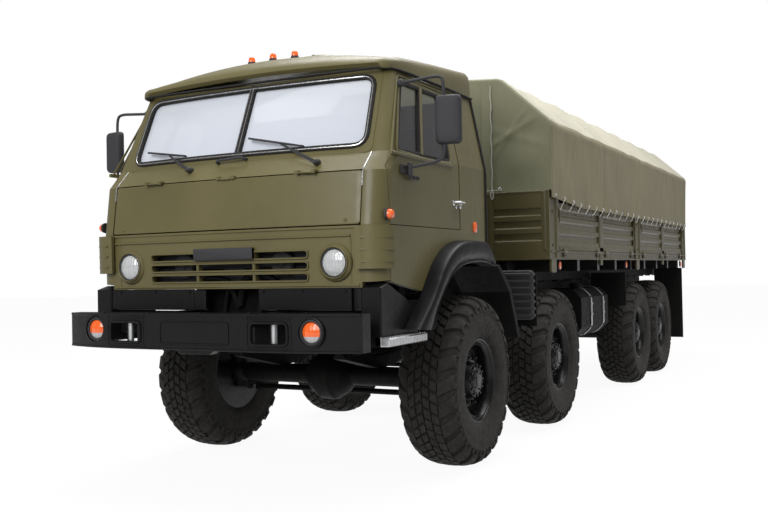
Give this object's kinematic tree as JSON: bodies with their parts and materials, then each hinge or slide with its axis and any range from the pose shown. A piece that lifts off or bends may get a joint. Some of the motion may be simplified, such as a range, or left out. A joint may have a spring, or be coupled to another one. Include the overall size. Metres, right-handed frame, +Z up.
{
  "type": "military cargo truck",
  "caption": "Eight-wheeled military cargo truck with a tilting cab over the engine, a drop-tail cargo bed and a canvas tilt on bows.",
  "frame": {"origin": "on the ground under the middle of the truck's length and width", "axes": "+Z up, +Y towards the tailgate (the front faces -Y), +X to the truck's left"},
  "size_m": [2.9878, 10.0261, 3.1918],
  "materials": {
    "olive_paint": "semi-gloss",
    "black_paint": "satin",
    "frame_grey": "matt",
    "tyre": "matt",
    "wheel_black": "gloss",
    "glass": "clear",
    "lamp_glass": "clear",
    "lamp_orange": "gloss",
    "dark_plastic": "matt",
    "seat_cloth": "woven",
    "canvas": "woven",
    "bed_paint": "semi-gloss"
  },
  "bodies": {
    "chassis": {"frame_rails": "frame_grey", "cross_members": "frame_grey", "front_bumper": "black_paint", "bumper_and_tail_lamps": "lamp_orange", "engine_block": "frame_grey", "axle_beams": "frame_grey", "leaf_springs": "frame_grey", "propeller_shafts": "frame_grey", "fuel_tanks": "frame_grey", "mudguards": "frame_grey", "cargo_floor": "bed_paint", "cargo_walls": "bed_paint", "canvas_tilt": "canvas", "spare_tyre": "tyre", "spare_carrier": "frame_grey"},
    "cab": {"cab_floor": "olive_paint", "cab_back": "olive_paint", "cab_side_left": "olive_paint", "cab_side_right": "olive_paint", "cab_front": "olive_paint", "grille_panel": "olive_paint", "headlights": "lamp_glass", "windscreen": "glass", "cab_roof": "olive_paint", "marker_lamps": "lamp_orange", "cab_lower_trim": "black_paint", "corner_deflectors": "olive_paint", "dashboard": "dark_plastic", "seats": "seat_cloth"},
    "front_flap": {"front_flap": "olive_paint"},
    "roof_hatch": {"roof_hatch": "olive_paint"},
    "tailgate": {"tailgate": "bed_paint"},
    "door_left": {"door_left": "olive_paint", "door_glass_left": "glass", "mirror_left": "dark_plastic"},
    "door_right": {"door_right": "olive_paint", "door_glass_right": "glass", "mirror_right": "dark_plastic"},
    "knuckle_1_left": {"knuckle_1_left": "frame_grey"},
    "knuckle_1_right": {"knuckle_1_right": "frame_grey"},
    "track_rod_1": {"track_rod_1": "frame_grey"},
    "knuckle_2_left": {"knuckle_2_left": "frame_grey"},
    "knuckle_2_right": {"knuckle_2_right": "frame_grey"},
    "track_rod_2": {"track_rod_2": "frame_grey"},
    "wheel_1_left": {"tyre_1_left": "tyre", "rim_1_left": "wheel_black"},
    "wheel_1_right": {"tyre_1_right": "tyre", "rim_1_right": "wheel_black"},
    "wheel_2_left": {"tyre_2_left": "tyre", "rim_2_left": "wheel_black"},
    "wheel_2_right": {"tyre_2_right": "tyre", "rim_2_right": "wheel_black"},
    "wheel_3_left": {"tyre_3_left": "tyre", "rim_3_left": "wheel_black"},
    "wheel_3_right": {"tyre_3_right": "tyre", "rim_3_right": "wheel_black"},
    "wheel_4_left": {"tyre_4_left": "tyre", "rim_4_left": "wheel_black"},
    "wheel_4_right": {"tyre_4_right": "tyre", "rim_4_right": "wheel_black"}
  },
  "joints": [
    {"name": "cab_tilt", "type": "hinge", "parent": "chassis", "child": "cab", "pos_m": [0, -4.76, 1.12], "axis": [1, 0, 0], "range_deg": [0, 42]},
    {"name": "door_left_swing", "type": "hinge", "parent": "cab", "child": "door_left", "pos_m": [1.151, -4.531, 1.9], "axis": [0, 0, -1], "range_deg": [0, 70]},
    {"name": "door_right_swing", "type": "hinge", "parent": "cab", "child": "door_right", "pos_m": [-1.151, -4.531, 1.9], "axis": [0, 0, 1], "range_deg": [0, 70]},
    {"name": "front_flap_lift", "type": "hinge", "parent": "cab", "child": "front_flap", "pos_m": [0, -4.658, 2.046], "axis": [-1, 0, 0], "range_deg": [0, 60]},
    {"name": "roof_hatch_lift", "type": "hinge", "parent": "cab", "child": "roof_hatch", "pos_m": [0, -3.243, 3.08], "axis": [-1, 0, 0], "range_deg": [0, 70]},
    {"name": "tailgate_drop", "type": "hinge", "parent": "chassis", "child": "tailgate", "pos_m": [0, 5.001, 1.573], "axis": [-1, 0, 0], "range_deg": [0, 165]},
    {"name": "steer_1_left", "type": "hinge", "parent": "chassis", "child": "knuckle_1_left", "pos_m": [0.88, -3.34, 0.615], "axis": [0, 0, 1], "range_deg": [-30, 30]},
    {"name": "steer_1_right", "type": "hinge", "parent": "chassis", "child": "knuckle_1_right", "pos_m": [-0.88, -3.34, 0.615], "axis": [0, 0, 1], "range_deg": [-30, 30]},
    {"name": "track_rod_1_pivot", "type": "hinge", "parent": "knuckle_1_left", "child": "track_rod_1", "pos_m": [0.846, -3.135, 0.47], "axis": [0, 0, 1], "range_deg": [-30, 30]},
    {"name": "steer_2_left", "type": "hinge", "parent": "chassis", "child": "knuckle_2_left", "pos_m": [0.88, -1.4, 0.615], "axis": [0, 0, 1], "range_deg": [-21, 21]},
    {"name": "steer_2_right", "type": "hinge", "parent": "chassis", "child": "knuckle_2_right", "pos_m": [-0.88, -1.4, 0.615], "axis": [0, 0, 1], "range_deg": [-21, 21]},
    {"name": "track_rod_2_pivot", "type": "hinge", "parent": "knuckle_2_left", "child": "track_rod_2", "pos_m": [0.846, -1.195, 0.47], "axis": [0, 0, 1], "range_deg": [-21, 21]},
    {"name": "wheel_1_left_spin", "type": "hinge", "parent": "knuckle_1_left", "child": "wheel_1_left", "pos_m": [1.064, -3.34, 0.615], "axis": [1, 0, 0], "continuous": true},
    {"name": "wheel_1_right_spin", "type": "hinge", "parent": "knuckle_1_right", "child": "wheel_1_right", "pos_m": [-1.064, -3.34, 0.615], "axis": [1, 0, 0], "continuous": true},
    {"name": "wheel_2_left_spin", "type": "hinge", "parent": "knuckle_2_left", "child": "wheel_2_left", "pos_m": [1.064, -1.4, 0.615], "axis": [1, 0, 0], "continuous": true},
    {"name": "wheel_2_right_spin", "type": "hinge", "parent": "knuckle_2_right", "child": "wheel_2_right", "pos_m": [-1.064, -1.4, 0.615], "axis": [1, 0, 0], "continuous": true},
    {"name": "wheel_3_left_spin", "type": "hinge", "parent": "chassis", "child": "wheel_3_left", "pos_m": [1.064, 1.84, 0.615], "axis": [1, 0, 0], "continuous": true},
    {"name": "wheel_3_right_spin", "type": "hinge", "parent": "chassis", "child": "wheel_3_right", "pos_m": [-1.064, 1.84, 0.615], "axis": [1, 0, 0], "continuous": true},
    {"name": "wheel_4_left_spin", "type": "hinge", "parent": "chassis", "child": "wheel_4_left", "pos_m": [1.064, 3.16, 0.615], "axis": [1, 0, 0], "continuous": true},
    {"name": "wheel_4_right_spin", "type": "hinge", "parent": "chassis", "child": "wheel_4_right", "pos_m": [-1.064, 3.16, 0.615], "axis": [1, 0, 0], "continuous": true}
  ],
  "couplings": [
    {"joint": "steer_1_right", "follows": "steer_1_left", "ratio": 1},
    {"joint": "track_rod_1_pivot", "follows": "steer_1_left", "ratio": -1},
    {"joint": "steer_2_left", "follows": "steer_1_left", "ratio": 0.7},
    {"joint": "steer_2_right", "follows": "steer_1_left", "ratio": 0.7},
    {"joint": "track_rod_2_pivot", "follows": "steer_1_left", "ratio": -0.7}
  ]
}
